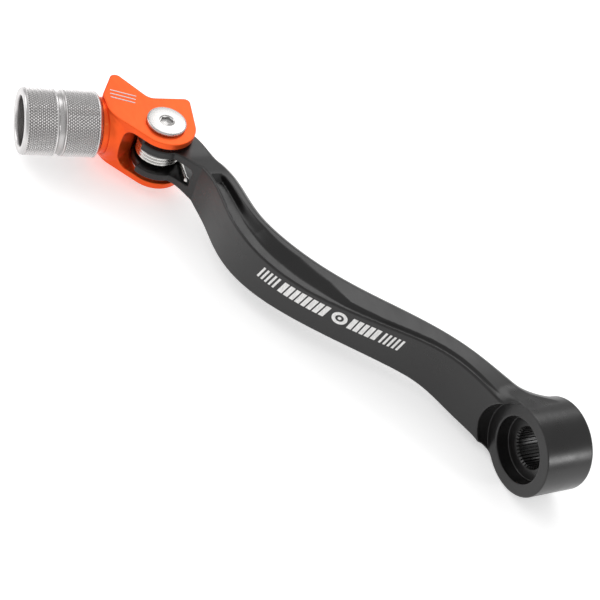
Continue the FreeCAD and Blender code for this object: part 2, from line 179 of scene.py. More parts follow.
def surface_net(field, origin, cell):
    """The zero surface of a sampled distance field, as points and four-cornered faces."""
    inside = field < 0
    shape = np.array(field.shape) - 1
    count = np.zeros(shape, np.int8)
    for i, j, k in CELL_CORNERS:
        count += inside[i:i + shape[0], j:j + shape[1], k:k + shape[2]]
    active = (count > 0) & (count < 8)
    cells = np.argwhere(active)
    numbers = np.full(active.shape, -1, np.int32)
    numbers[active] = np.arange(len(cells))
    where = cells[:, None, :] + CELL_CORNERS[None]
    corner = field[where[..., 0], where[..., 1], where[..., 2]]
    total = np.zeros((len(cells), 3))
    hits = np.zeros(len(cells))
    for a, b in CELL_EDGES:
        first, second = corner[:, a], corner[:, b]
        crossed = (first < 0) != (second < 0)
        share = np.where(crossed, first / np.where(crossed, first - second, 1), 0)
        total += crossed[:, None] * (CELL_CORNERS[a] + share[:, None] * (CELL_CORNERS[b] - CELL_CORNERS[a]))
        hits += crossed
    points = np.array(origin) + cell * (cells + total / hits[:, None])
    faces = []
    for axis in range(3):
        one, two = (axis + 1) % 3, (axis + 2) % 3
        low = np.take(inside, np.arange(field.shape[axis] - 1), axis)
        high = np.take(inside, np.arange(1, field.shape[axis]), axis)
        edges = np.argwhere(low != high)
        keep = (edges[:, one] > 0) & (edges[:, two] > 0)
        keep &= (edges[:, one] < shape[one]) & (edges[:, two] < shape[two])
        edges = edges[keep]
        ring = []
        for back_one, back_two in ((1, 1), (0, 1), (0, 0), (1, 0)):
            around = edges.copy()
            around[:, one] -= back_one
            around[:, two] -= back_two
            ring.append(numbers[around[:, 0], around[:, 1], around[:, 2]])
        quads = np.stack(ring, 1)
        outward = low[edges[:, 0], edges[:, 1], edges[:, 2]]
        faces.append(np.where(outward[:, None], quads, quads[:, ::-1]))
    return points, np.concatenate(faces)


def solid_mesh(name, distance, low, high, cell):
    """The mesh of a solid whose distance field is distance(x, y, z), in the box from low to high."""
    axes = [np.arange(a, b + cell, cell) for a, b in zip(low, high)]
    field = distance(*np.meshgrid(*axes, indexing="ij", sparse=True)).astype(np.float32)
    points, faces = surface_net(field, [axis[0] for axis in axes], cell)
    reach = cell * NORMAL_REACH

    def slope(at):
        parts = []
        for axis in range(3):
            step = np.zeros(3)
            step[axis] = reach
            parts.append(distance(*(at + step).T) - distance(*(at - step).T))
        return np.stack(parts, 1)

    for _ in range(SETTLE_PASSES):
        way = slope(points)
        size = np.maximum(np.linalg.norm(way, axis=1), 1e-9)
        gradient = way / (2 * reach)
        move = distance(*points.T)[:, None] * gradient / np.maximum((size / (2 * reach)) ** 2, 0.25)[:, None]
        points = points - np.clip(move, -cell * SETTLE_LIMIT, cell * SETTLE_LIMIT)
    mesh = mesh_from_faces(name, points, faces)
    normals = slope(points)
    normals /= np.maximum(np.linalg.norm(normals, axis=1), 1e-9)[:, None]
    mesh.normals_split_custom_set_from_vertices(normals)
    return mesh


class PlanField:
    """Distances in plan to outlines, kept on a grid so that any point can read them."""

    def __init__(self, low, high, step):
        self.low, self.step = np.array(low, float), step
        self.xs = np.arange(low[0], high[0] + step, step)
        self.ys = np.arange(low[1], high[1] + step, step)
        grid = np.meshgrid(self.xs, self.ys, indexing="ij")
        self.points = np.stack([axis.ravel() for axis in grid], 1)
        self.shape = grid[0].shape

    def blocks(self):
        return np.array_split(self.points, max(1, len(self.points) // PLAN_BLOCK))

    def to_line(self, line):
        """The unsigned distance to a polyline."""
        start, way = line[:-1], np.diff(line, axis=0)
        length = (way * way).sum(1)
        result = []
        for block in self.blocks():
            gap = block[:, None] - start[None]
            share = np.clip((gap * way[None]).sum(2) / length[None], 0, 1)
            rest = gap - share[..., None] * way[None]
            result.append(np.sqrt((rest * rest).sum(2).min(1)))
        return np.concatenate(result).reshape(self.shape)

    def to_outline(self, line):
        """The signed distance to a closed polyline, negative inside."""
        closed = np.vstack([line, line[:1]])
        start, end = closed[:-1], closed[1:]
        inside = []
        for block in self.blocks():
            x, y = block[:, :1], block[:, 1:]
            straddle = (start[:, 1] > y) != (end[:, 1] > y)
            run = np.where(end[:, 1] == start[:, 1], 1, end[:, 1] - start[:, 1])
            cross = start[:, 0] + (y - start[:, 1]) * (end[:, 0] - start[:, 0]) / run
            inside.append((straddle & (x < cross)).sum(1) % 2 == 1)
        sign = np.where(np.concatenate(inside).reshape(self.shape), -1, 1)
        return sign * self.to_line(closed)

    def read(self, values, x, y):
        """Values on the grid, read at any places by bilinear interpolation."""
        i = np.clip((x - self.low[0]) / self.step, 0, self.shape[0] - 1.001)
        j = np.clip((y - self.low[1]) / self.step, 0, self.shape[1] - 1.001)
        i, j = np.broadcast_arrays(i, j)
        a, b = i.astype(int), j.astype(int)
        u, v = i - a, j - b
        return ((values[a, b] * (1 - u) + values[a + 1, b] * u) * (1 - v)
                + (values[a, b + 1] * (1 - u) + values[a + 1, b + 1] * u) * v)


# -------- the lever's shape

BOSS_RADIUS = 14.0
BOSS_LENGTH = 17.16
BOSS_BACK_ROUND = 1.2
COUNTERBORE_RADIUS = 10.0
COUNTERBORE_DEPTH = 4.6
SPLINE_TEETH = 36
SPLINE_TIP_RADIUS = 5.9
SPLINE_ROOT_RADIUS = 6.4
SPLINE_SLEEVE_RADIUS = 6.9

FORK_ANGLE = math.radians(31.7)
FORK_WAY = np.array([math.cos(FORK_ANGLE), math.sin(FORK_ANGLE)])
FORK_SIDE = np.array([-FORK_WAY[1], FORK_WAY[0]])
FORK_LOBE_RADIUS = 8.0
LUG_RADIUS = 9.8
LUG_START = -0.5
LUG_END = 8.8
FORK_NECK = (10.8, -3.4)
SLOT_HALF_HEIGHT = 3.5
SLOT_END = 16.0
BUSH_BORE_RADIUS = 5.0

OUTBOARD_FACE = [(-111.0, -65.1), (-104.3, -63.9), (-90.0, -63.4), (-77.0, -60.2), (-56.6, -44.6),
                 (-40.0, -24.0), (-31.5, -14.8), (-20.3, -8.0), (-10.0, -3.6)]
INBOARD_SIDE = [(-113.6, -55.6), (-102.1, -53.5), (-91.4, -51.6), (-79.2, -45.4), (-66.4, -34.6),
                (-48.1, -14.9), (-35.2, -4.2), (-24.2, 2.2), (-8.0, 12.0)]
HALF_HEIGHT = [(-140.0, 6.4), (-124.0, 6.4), (-116.5, 6.5), (-109.0, 8.1), (-100.0, 8.6), (-82.0, 8.2),
               (-57.0, 7.0), (-40.0, 8.0), (-26.0, 9.1), (-10.0, 8.8), (20.0, 8.8)]

# The channel in the top and the underside: over X, its depth, its width and how far its inner side slopes
CHANNEL = [(-110.0, 0.0, 3.0, 0.8), (-107.6, 0.0, 3.2, 0.8), (-105.8, 2.3, 4.0, 0.9), (-96.0, 2.6, 5.2, 1.6),
           (-84.0, 2.6, 6.6, 4.0), (-72.0, 2.3, 6.8, 5.2), (-62.0, 1.8, 5.2, 4.2), (-54.0, 1.3, 2.6, 1.6),
           (-46.0, 1.1, 1.9, 1.0), (-36.0, 1.0, 1.8, 1.0), (-27.0, 0.8, 1.6, 1.0), (-19.0, 0.5, 1.4, 1.0),
           (-14.0, 0.0, 1.4, 1.0), (20.0, 0.0, 1.4, 1.0)]
CHANNEL_RIM = 0.7
CHANNEL_SIDE = 0.7
UNDERSIDE_FLARE = 1.3
FLARE_FROM, FLARE_TO = -36, -19
OUTBOARD_EDGE_ROUND = 0.7
INBOARD_EDGE_ROUND = 3.9
# The inboard rounding starts past the fork, by distance from the pivot, and grows over the arm's width
ARM_FROM, ARM_TO = 11, 22
ROUNDING_FROM, ROUNDING_TO = 0.45, 0.85
BOSS_FRONT_ROUND = 0.45
BOSS_FILLET_LEAST, BOSS_FILLET_GROWTH = 0.3, 5.2
BOSS_FILLET_FROM, BOSS_FILLET_TO = -36, -20
LEVER_CELL, LEVER_QUICK_CELL = 0.36, 0.6
LEVER_LOW, LEVER_HIGH = (-138.5, -82.5, -14.9), (15.2, 18.4, 14.9)


def on_fork(along, aside):
    """A point in plan by its distance along the fork's direction and to its inboard side."""
    return PIVOT[:2] + FORK_WAY * along + FORK_SIDE * aside


def from_fork(x, y):
    """The reverse of on_fork."""
    x, y = x - PIVOT[0], y - PIVOT[1]
    return x * FORK_WAY[0] + y * FORK_WAY[1], x * FORK_SIDE[0] + y * FORK_SIDE[1]


def fork_arc(radius, first, last, count=60):
    """Part of a circle about the pivot, between two angles from the fork's direction."""
    angles = np.linspace(first, last, count)
    return np.array([on_fork(radius * math.cos(angle), radius * math.sin(angle)) for angle in angles])


def fork_outline(inboard_start):
    """The fork in plan, from where its inboard side leaves the lobe, round the nose and the stop lug."""
    way = np.array(inboard_start) - PIVOT[:2]
    away = math.atan2(np.dot(way, FORK_SIDE), np.dot(way, FORK_WAY))
    touch = away + math.acos(FORK_LOBE_RADIUS / np.linalg.norm(way))
    lug_angles = [2 * math.pi - math.acos(along / LUG_RADIUS) for along in (LUG_START, LUG_END)]
    root_angle = 2 * math.pi - math.acos(LUG_START / FORK_LOBE_RADIUS)
    neck = on_fork(*FORK_NECK)
    lug_end = fork_arc(LUG_RADIUS, lug_angles[1], lug_angles[1], 1)[0]
    soft = bezier(lug_end + (neck - lug_end) * 0.1, neck, neck + (OUTBOARD_FACE[0] - neck) * 0.6)
    lobe = fork_arc(FORK_LOBE_RADIUS, touch, root_angle)
    return np.vstack([lobe, fork_arc(LUG_RADIUS, *lug_angles), soft])


def bezier(start, handle, end, count=14):
    """A smooth bend from start to end."""
    t = np.linspace(0, 1, count)[:, None]
    return start * (1 - t) ** 2 + handle * 2 * t * (1 - t) + end * t ** 2


class LeverShape:
    """The lever's distance field."""

    def __init__(self):
        outboard = smooth_curve(OUTBOARD_FACE, 160)
        inboard = smooth_curve(INBOARD_SIDE, 160)
        fork = fork_outline(INBOARD_SIDE[0])
        self.outboard = outboard
        self.plan = PlanField((-141, -86), (20, 22), 0.25)
        self.edge = self.plan.to_outline(np.vstack([fork, outboard, inboard[::-1]]))
        self.outboard_gap = self.plan.to_line(outboard)
        self.inboard_gap = self.plan.to_line(np.vstack([fork[:1], inboard]))

    def top(self, x, outboard_gap):
        """Half the lever's height, less the channel."""
        height = spline_values(*np.array(HALF_HEIGHT).T, x.ravel()).reshape(x.shape)
        places, depth, width, slope = np.array(CHANNEL).T
        depth, width, slope = (np.interp(x, places, row) for row in (depth, width, slope))
        outer = smoothstep(CHANNEL_RIM, CHANNEL_RIM + CHANNEL_SIDE, outboard_gap)
        inner_end = CHANNEL_RIM + width + slope * 0.5
        inner = 1 - smoothstep(inner_end - slope, inner_end, outboard_gap)
        return height - depth * outer * inner

    def distance(self, x, y, z):
        read = self.plan.read
        edge = read(self.edge, x, y)
        outboard_gap = read(self.outboard_gap, x, y)
        inboard_gap = read(self.inboard_gap, x, y)
        station = np.broadcast_to(x, edge.shape)
        top = self.top(station, outboard_gap)
        side = outboard_gap / np.maximum(outboard_gap + inboard_gap, 1e-6)
        from_pivot = np.hypot(x - PIVOT[0], y - PIVOT[1])
        extra = (INBOARD_EDGE_ROUND - OUTBOARD_EDGE_ROUND) * smoothstep(ROUNDING_FROM, ROUNDING_TO, side)
        rounding = OUTBOARD_EDGE_ROUND + extra * smoothstep(ARM_FROM, ARM_TO, from_pivot)
        flare = UNDERSIDE_FLARE * smoothstep(FLARE_FROM, FLARE_TO, station)
        arm = meet(edge, np.maximum(z - top, -z - top - flare), rounding)

        radial = np.hypot(x, z)
        round_edge = np.where(y > BOSS_LENGTH / 2, BOSS_BACK_ROUND, BOSS_FRONT_ROUND)
        boss = meet(radial - BOSS_RADIUS, span(y, 0, BOSS_LENGTH), round_edge)
        near_boss = smoothstep(BOSS_FILLET_FROM, BOSS_FILLET_TO, station)
        lever = join(arm, boss, BOSS_FILLET_LEAST + BOSS_FILLET_GROWTH * near_boss)
        spot_face = meet(radial - (BOSS_RADIUS + 0.1), y, 0.2)
        lever = carve(lever, spot_face, 0.5)
        lever = carve(lever, meet(radial - COUNTERBORE_RADIUS, y - COUNTERBORE_DEPTH, 0.3), 0.45)
        lever = carve(lever, radial - SPLINE_SLEEVE_RADIUS, 0.1)

        along, _ = from_fork(x, y)
        slot = meet(along - SLOT_END, np.abs(z) - SLOT_HALF_HEIGHT, 1.2)
        lever = carve(lever, slot, 0.4)
        return carve(lever, from_pivot - BUSH_BORE_RADIUS, 0.2)


def make_lever():
    shape = LeverShape()
    cell = LEVER_CELL
    mesh = solid_mesh("lever_body", shape.distance, LEVER_LOW, LEVER_HIGH, cell)
    piece = new_object("lever_body", mesh, SLOT_MATERIALS["black_anodised"])
    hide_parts("lever_arm", "boss_end")
    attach(piece, "lever")
    return shape


# -------- turned pieces

class Axis:
    """A line to turn pieces about: points are given by distance along it, angle and radius."""

    def __init__(self, origin, way, side):
        self.origin = np.array(origin, float)
        self.way = np.array(way, float)
        self.side = np.array(side, float)
        self.up = np.cross(self.way, self.side)

    def points(self, along, radius, angles):
        round_part = np.outer(np.cos(angles), self.side) + np.outer(np.sin(angles), self.up)
        return self.origin + self.way * along + round_part * np.broadcast_to(radius, angles.shape)[:, None]


PIVOT_AXIS = Axis(PIVOT, (0, 0, 1), (1, 0, 0))
BOSS_AXIS = Axis((0, 0, 0), (0, 1, 0), (0, 0, 1))
TIP_ROLL_FOOT = BARREL_MIDDLE + BARREL_AXIS * np.dot(PIVOT - BARREL_MIDDLE, BARREL_AXIS)
BARREL = Axis(TIP_ROLL_FOOT, BARREL_AXIS, np.cross(BARREL_AXIS, (0, 0, 1)))


def turned(name, axis, rows, count, sharp, closed_ring=False):
    """A mesh from rows (distance along the axis, radius), where a radius may be a function of the angle.

    A row of radius 0 is a single point. A closed ring also joins its last row to its first.
    """
    angles = np.arange(count) / count * 2 * math.pi
    rings = []
    for along, radius in rows:
        value = radius(angles) if callable(radius) else np.full(count, float(radius))
        ring = axis.points(along, value, angles)
        rings.append(ring[:1] if value.max() == 0 else ring)
    return ring_mesh(name, rings, sharp, closed_ring)


def ring_mesh(name, rings, sharp, closed_ring=False):
    """A mesh over rings of as many points each, or of one, with edges sharp above an angle in degrees."""
    count = max(len(ring) for ring in rings)
    starts = np.cumsum([0] + [len(ring) for ring in rings])
    index = np.arange(count)
    after = (index + 1) % count
    last = len(rings) if closed_ring else len(rings) - 1
    quads, triangles = [], []
    for here in range(last):
        there = (here + 1) % len(rings)
        first, second = starts[here], starts[there]
        if len(rings[here]) == 1:
            triangles.append(np.stack([np.full(count, first), second + index, second + after], 1))
        elif len(rings[there]) == 1:
            triangles.append(np.stack([first + index, np.full(count, second), first + after], 1))
        else:
            quads.append(np.stack([first + index, second + index, second + after, first + after], 1))
    mesh = mesh_from_faces(name, np.vstack(rings), quads, triangles)
    work = bmesh.new()
    work.from_mesh(mesh)
    bmesh.ops.recalc_face_normals(work, faces=work.faces)
    work.to_mesh(mesh)
    work.free()
    mesh.set_sharp_from_angle(angle=math.radians(sharp))
    return mesh


def hexagonal(flats):
    """The radius of a hexagon, by its width across flats, as a function of the angle."""
    return lambda angles: flats / 2 / np.cos((angles + math.pi / 6) % (math.pi / 3) - math.pi / 6)


def add_piece(name, mesh, slot_name, body, *replaced, material=None):
    """A new piece on a body, in its slot's material unless another is given."""
    piece = new_object(name, mesh, material or SLOT_MATERIALS[slot_name])
    if replaced:
        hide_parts(*replaced)
    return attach(piece, body)


SOCKET_CHAMFER = 0.3


def socket_rows(top, flats, depth):
    """The rows of a hex socket, from its floor's centre out to the face that it's cut in."""
    hexagon = hexagonal(flats)
    mouth = flats / math.sqrt(3) + SOCKET_CHAMFER
    return [(top - depth - flats * 0.2, 0), (top - depth, hexagon), (top - SOCKET_CHAMFER * 1.2, hexagon),
            (top - SOCKET_CHAMFER, mouth - SOCKET_CHAMFER * 0.8), (top, mouth)]


# -------- materials

class Nodes:
    """A material's node tree, with short ways to add and join nodes."""

    def __init__(self, name):
        self.material = bpy.data.materials.new(name)
        self.material.use_nodes = True
        self.tree = self.material.node_tree
        self.shader = self.tree.nodes["Principled BSDF"]
        self.coords = self.add("ShaderNodeTexCoord").outputs["Object"]

    def add(self, kind, inputs=(), **settings):
        node = self.tree.nodes.new(kind)
        for key, value in settings.items():
            setattr(node, key, value)
        for key, value in inputs:
            node.inputs[key].default_value = value
        return node

    def link(self, source, target):
        self.tree.links.new(source, target)

    def stretched(self, scale, turn=(0, 0, 0)):
        """The object's coordinates, scaled, for textures drawn out in one direction."""
        mapping = self.add("ShaderNodeMapping", (("Scale", scale), ("Rotation", turn)))
        self.link(self.coords, mapping.inputs["Vector"])
        return mapping.outputs["Vector"]

    def noise(self, scale, detail=4, roughness=0.55, coords=None):
        node = self.add("ShaderNodeTexNoise", (("Scale", scale), ("Detail", detail),
                                               ("Roughness", roughness)))
        self.link(coords or self.coords, node.inputs["Vector"])
        return node.outputs["Fac"]

    def to_range(self, value, low, high, from_low=0.3, from_high=0.7):
        node = self.add("ShaderNodeMapRange", (("From Min", from_low), ("From Max", from_high),
                                               ("To Min", low), ("To Max", high)))
        self.link(value, node.inputs["Value"])
        return node.outputs["Result"]

    def maths(self, operation, first, second):
        node = self.add("ShaderNodeMath", operation=operation)
        for socket, value in zip(node.inputs, (first, second)):
            if isinstance(value, (int, float)):
                socket.default_value = value
            else:
                self.link(value, socket)
        return node.outputs["Value"]

    def blend(self, share, first, second):
        """One colour where share is 0 and another where it is 1."""
        node = self.add("ShaderNodeMix", data_type="RGBA")
        for socket, value in ((node.inputs[6], first), (node.inputs[7], second)):
            if isinstance(value, tuple):
                socket.default_value = (*value, 1)
            else:
                self.link(value, socket)
        self.link(share, node.inputs[0])
        return node.outputs[2]

    def bump(self, height, strength, distance, under=None):
        node = self.add("ShaderNodeBump", (("Strength", strength), ("Distance", distance)))
        self.link(height, node.inputs["Height"])
        if under is not None:
            self.link(under, node.inputs["Normal"])
        return node.outputs["Normal"]

    def edges(self, low, high):
        """1 on convex edges and 0 elsewhere, a mask used to paint light onto edges and shade into hollows."""
        pointed = self.add("ShaderNodeNewGeometry").outputs["Pointiness"]
        return self.to_range(pointed, 0, 1, low, high)

    def finish(self, color, roughness, normal, metallic, **constants):
        self.link(color, self.shader.inputs["Base Color"])
        self.link(roughness, self.shader.inputs["Roughness"])
        self.link(normal, self.shader.inputs["Normal"])
        self.shader.inputs["Metallic"].default_value = metallic
        for key, value in constants.items():
            self.shader.inputs[key.replace("_", " ")].default_value = value
        return self.material


def black_anodised():
    """Bead-blasted black anodising: fine grain, faint handling marks, and convex edges painted a little lighter as
    a painted highlight.
    """
    m = Nodes("black_anodised")
    cloud = m.noise(90, 5)
    grain = m.noise(5200, 3)
    scuff = m.noise(420, 6, 0.62, m.stretched((0.35, 1.0, 1.6), (0, 0, 0.7)))
    base = m.blend(m.to_range(cloud, 0, 1), (0.0040, 0.0036, 0.0037), (0.0068, 0.0062, 0.0063))
    # Painted highlight: convex edges painted a lighter black, patchy where the scuff noise is high.
    painted_edge_highlight = m.maths("MULTIPLY", m.edges(0.515, 0.56), m.to_range(scuff, 0.15, 0.9, 0.35, 0.65))
    color = m.blend(painted_edge_highlight, base, (0.022, 0.021, 0.021))
    rough = m.maths("ADD", m.to_range(cloud, 0.27, 0.34), m.to_range(scuff, -0.03, 0.04, 0.3, 0.7))
    normal = m.bump(grain, 0.10, 0.00004, m.bump(scuff, 0.05, 0.00005))
    return m.finish(color, rough, normal, 0.0, Specular_IOR_Level=0.5)


def orange_anodised():
    """Orange anodised aluminium: a dyed clear oxide over metal, with fine milling lines."""
    m = Nodes("orange_anodised")
    cloud = m.noise(120, 5)
    milling = m.noise(2600, 3, 0.5, m.stretched((0.10, 1.0, 1.0), (0, 0, 0.45)))
    grain = m.noise(6000, 2)
    base = m.blend(m.to_range(cloud, 0, 1), (0.88, 0.088, 0.010), (0.96, 0.115, 0.016))
    # Painted highlight: convex edges painted a brighter orange, patchy with the cloud noise.
    painted_edge_highlight = m.maths("MULTIPLY", m.edges(0.52, 0.60), m.to_range(cloud, 0.15, 0.7))
    color = m.blend(painted_edge_highlight, base, (1.0, 0.22, 0.05))
    rough = m.maths("ADD", m.to_range(cloud, 0.30, 0.37), m.to_range(milling, -0.03, 0.04))
    normal = m.bump(milling, 0.07, 0.00003, m.bump(grain, 0.05, 0.00002))
    return m.finish(color, rough, normal, 0.72, Specular_IOR_Level=0.5)


def bare_aluminium():
    """Turned and knurled aluminium: crests painted bright as a painted highlight, grooves painted grey as painted
    shade, and faint turning lines.
    """
    m = Nodes("knurled_aluminium")
    cloud = m.noise(300, 5)
    fine = m.noise(5200, 3)
    turning = m.noise(3800, 2, 0.5, m.stretched((0.06, 1.0, 0.06)))
    # Painted light and shade: knurl crests painted bright, grooves painted dark grey.
    crest = m.edges(0.44, 0.56)
    base = m.blend(crest, (0.22, 0.215, 0.212), (0.82, 0.80, 0.80))
    color = m.blend(m.to_range(cloud, 0.0, 0.35), base, (0.52, 0.51, 0.50))
    rough = m.maths("ADD", m.to_range(fine, 0.24, 0.36), m.to_range(turning, -0.03, 0.03))
    normal = m.bump(turning, 0.10, 0.00004, m.bump(fine, 0.10, 0.00002))
    return m.finish(color, rough, normal, 1.0)


def plated_steel():
    """Zinc-plated steel: a bright, slightly mottled silver."""
    m = Nodes("plated_steel")
    spangle = m.noise(1400, 5, 0.65)
    fine = m.noise(6000, 3)
    base = m.blend(m.to_range(spangle, 0, 1), (0.42, 0.41, 0.405), (0.60, 0.59, 0.58))
    # Painted highlight: convex edges painted a lighter silver.
    color = m.blend(m.edges(0.53, 0.62), base, (0.80, 0.79, 0.78))
    rough = m.to_range(spangle, 0.20, 0.36)
    normal = m.bump(spangle, 0.12, 0.00004, m.bump(fine, 0.06, 0.00002))
    return m.finish(color, rough, normal, 1.0)


def simple_finish(name, cloud, dark, light, grain, rough, relief, metallic, stretch=(1.0, 1.0, 1.0)):
    """A colour that drifts with one noise, and a roughness and relief that follow a finer one."""
    m = Nodes(name)
    base = m.blend(m.to_range(m.noise(*cloud), 0, 1), dark, light)
    fine = m.noise(*grain, m.stretched(stretch))
    return m.finish(base, m.to_range(fine, *rough), m.bump(fine, relief, 0.00003), metallic)


def seal_rubber():
    """Matt black rubber with a trace of dust."""
    m = Nodes("seal_rubber")
    dust = m.noise(900, 5)
    fine = m.noise(6000, 2)
    base = m.blend(m.to_range(dust, 0, 1), (0.010, 0.010, 0.010), (0.028, 0.027, 0.026))
    return m.finish(base, m.to_range(dust, 0.55, 0.75), m.bump(fine, 0.2, 0.00003), 0.0)


def etched_mark():
    """The pale grey of laser etching, a little uneven where the beam passed."""
    m = Nodes("etched_mark")
    lines = m.noise(3400, 4, 0.6, m.stretched((1.0, 1.0, 0.2)))
    base = m.blend(m.to_range(lines, 0, 1), (0.62, 0.61, 0.60), (0.92, 0.91, 0.90))
    return m.finish(base, m.to_range(lines, 0.5, 0.7), m.bump(lines, 0.15, 0.00003), 0.0)


SLOT_MATERIALS = {
    "black_anodised": black_anodised(),
    "orange_anodised": orange_anodised(),
    "knurled_aluminium": bare_aluminium(),
    "plated_steel": plated_steel(),
    "spring_steel": simple_finish("spring_steel", (600, 3), (0.66, 0.65, 0.63), (0.84, 0.83, 0.81),
                                  (3000, 4, 0.6), (0.16, 0.30), 0.08, 1.0, (1.0, 1.0, 3.0)),
    "bronze": simple_finish("bronze", (400, 3), (0.43, 0.24, 0.09), (0.58, 0.35, 0.14),
                            (3600, 4, 0.7), (0.32, 0.52), 0.15, 1.0),
    "nylon": simple_finish("nylon", (500, 4), (0.030, 0.030, 0.032), (0.055, 0.054, 0.052),
                           (5000, 3, 0.55), (0.42, 0.58), 0.12, 0.0),
    "seal_rubber": seal_rubber(),
}
ETCHED = etched_mark()


# -------- the tip's bracket

BRACKET_HALF_HEIGHT = 10.0
BRACKET_EDGE_ROUND = 0.35
EAR_INNER_HALF_HEIGHT = 7.6
EAR_RADIUS = 9.7
POCKET_RADIUS = 8.4
THROAT_END = -7.0
THROAT_ROUND = 3.5
STOP_SIDE = 8.2
WEB_FACE = -11.3
COVE_RADIUS = 10.0
COVE_HALF_HEIGHT = 4.0
COVE_START = -16.5
NECK_RADIUS = 8.9
NECK_START = 15.0
NECK_END = 18.9
SHOULDER_RADIUS = 9.6
SHOULDER_END = 17.1
SHOULDER_HALF_HEIGHT = 8.2
SHOULDER_FILLET = 2.2
BOLT_RADIUS = 3.0
BOLT_HOLE_GAP = 0.05
AXLE_THREAD_RADIUS = 2.95
TAPPED_START = 9.5
BRACKET_CELL, BRACKET_QUICK_CELL = 0.2, 0.34
MESH_MARGIN = 0.6
# Seen from above, about the pivot: x, y and the corner's radius
BRACKET_OUTLINE = [(-24.6, -10.9, 2.0), (-13.9, -17.0, 0.8), (-5.2, -17.0, 11.0), (22.7, 6.4, EAR_RADIUS),
                   (-11.1, 11.5, 1.8), (-11.8, -2.1, 4.0)]


def rounded_outline(corners, per_corner=24):
    """A closed polyline through corners (x, y, radius), each one rounded by an arc."""
    points = []
    count = len(corners)
    for index, (x, y, radius) in enumerate(corners):
        corner = np.array((x, y))
        before = np.array(corners[index - 1][:2]) - corner
        after = np.array(corners[(index + 1) % count][:2]) - corner
        before, after = before / np.linalg.norm(before), after / np.linalg.norm(after)
        half_angle = math.acos(np.clip(np.dot(before, after), -1, 1)) / 2
        middle_way = (before + after) / np.linalg.norm(before + after)
        centre = corner + middle_way * radius / math.sin(half_angle)
        start = corner + before * radius / math.tan(half_angle) - centre
        end = corner + after * radius / math.tan(half_angle) - centre
        first, last = math.atan2(start[1], start[0]), math.atan2(end[1], end[0])
        turn = (last - first + math.pi) % (2 * math.pi) - math.pi
        angles = first + turn * np.linspace(0, 1, per_corner)
        points.extend(centre + radius * np.stack([np.cos(angles), np.sin(angles)], 1))
    return np.array(points)


class BracketShape:
    """The tip bracket's distance field."""

    def __init__(self):
        outline = rounded_outline([(PIVOT[0] + x, PIVOT[1] + y, r) for x, y, r in BRACKET_OUTLINE])
        self.plan = PlanField(outline.min(0) - 2, outline.max(0) + 2, 0.12)
        self.edge = self.plan.to_outline(outline)

    def distance(self, x, y, z):
        along, aside = from_fork(x, y)
        from_pivot = np.hypot(x - PIVOT[0], y - PIVOT[1])
        height = np.abs(z)
        block = meet(self.plan.read(self.edge, x, y), height - BRACKET_HALF_HEIGHT, BRACKET_EDGE_ROUND)

        beyond = np.maximum(height - COVE_HALF_HEIGHT, 0)
        side = np.maximum(aside - (WEB_FACE - COVE_RADIUS), 0)
        cove = meet(np.hypot(side, beyond) - COVE_RADIUS, COVE_START - along, 2.0)
        block = carve(block, cove, 0.25)

        foot = BARREL.origin
        station = (x - foot[0]) * BARREL.way[0] + (y - foot[1]) * BARREL.way[1]
        offset = (x - foot[0]) * BARREL.side[0] + (y - foot[1]) * BARREL.side[1]
        radial = np.hypot(offset, z)
        shoulder = meet(radial - SHOULDER_RADIUS, span(station, 0, SHOULDER_END), 0.2)
        shoulder = meet(meet(shoulder, height - SHOULDER_HALF_HEIGHT, 0.6), offset + 1, 1.0)
        block = join(block, shoulder, SHOULDER_FILLET)
        block = meet(block, height - BRACKET_HALF_HEIGHT, BRACKET_EDGE_ROUND)
        block = np.minimum(block, meet(radial - NECK_RADIUS, span(station, NECK_START, NECK_END), 0.3))

        pocket = meet(from_pivot - POCKET_RADIUS, height - EAR_INNER_HALF_HEIGHT, 0.5)
        mouth = meet(meet(THROAT_END - along, height - EAR_INNER_HALF_HEIGHT, THROAT_ROUND), aside, 0.3)
        rear = meet(meet(-along, height - EAR_INNER_HALF_HEIGHT, 0.5), aside - STOP_SIDE, 0.5)
        block = carve(block, np.minimum(np.minimum(pocket, mouth), rear), BRACKET_EDGE_ROUND)
        block = carve(block, from_pivot - BOLT_RADIUS - BOLT_HOLE_GAP, 0.2)
        tapped = meet(radial - AXLE_THREAD_RADIUS, TAPPED_START - station, 0.1)
        return carve(block, tapped, 0.1)


def make_bracket():
    shape = BracketShape()
    cell = BRACKET_CELL
    low = np.append(shape.plan.low + 1, 0)
    high = np.array((shape.plan.xs[-1] - 1, shape.plan.ys[-1] - 1, 0))
    neck_points = BARREL.points(NECK_END + MESH_MARGIN, NECK_RADIUS + MESH_MARGIN,
                                np.linspace(0, 2 * math.pi, 48))
    low = np.minimum(low, neck_points.min(0))
    high = np.maximum(high, neck_points.max(0))
    low[2], high[2] = -BRACKET_HALF_HEIGHT - MESH_MARGIN, BRACKET_HALF_HEIGHT + MESH_MARGIN
    mesh = solid_mesh("tip_bracket_body", shape.distance, low, high, cell)
    add_piece("tip_bracket_body", mesh, "orange_anodised", "tip", "tip_bracket")


# -------- the toe barrel

BARREL_RADIUS = 10.5
BARREL_START = 19.4
BARREL_END = 43.5
GROOVE_AT = 32.1
GROOVE_HALF_WIDTH = 1.15
GROOVE_DEPTH = 0.75
LIP = 1.0
LIP_ROUND = 0.75
LIP_INSET = 0.1
MOUTH_RADIUS = 7.95
WEB_END = 28.6
AXLE_BUSH_RADIUS = 5.0
SEAL_POCKET_RADIUS = 6.0
SEAL_POCKET_END = 21.4
KNURL_TEETH = 70
KNURL_PITCH = 1.28
KNURL_DEPTH = 0.36
KNURL_FADE = 0.35
# The barrel's edge next to the bracket: how far along it and how far inside its radius
START_EDGE = [(0, 0.9), (0.12, 0.72), (0.75, 0.06)]


def ridge(value):
    """0 in the middle of a knurl's groove and 1 at the crest between two."""
    return np.clip(1.2 * np.abs(2 * (value % 1) - 1), 0, 1)


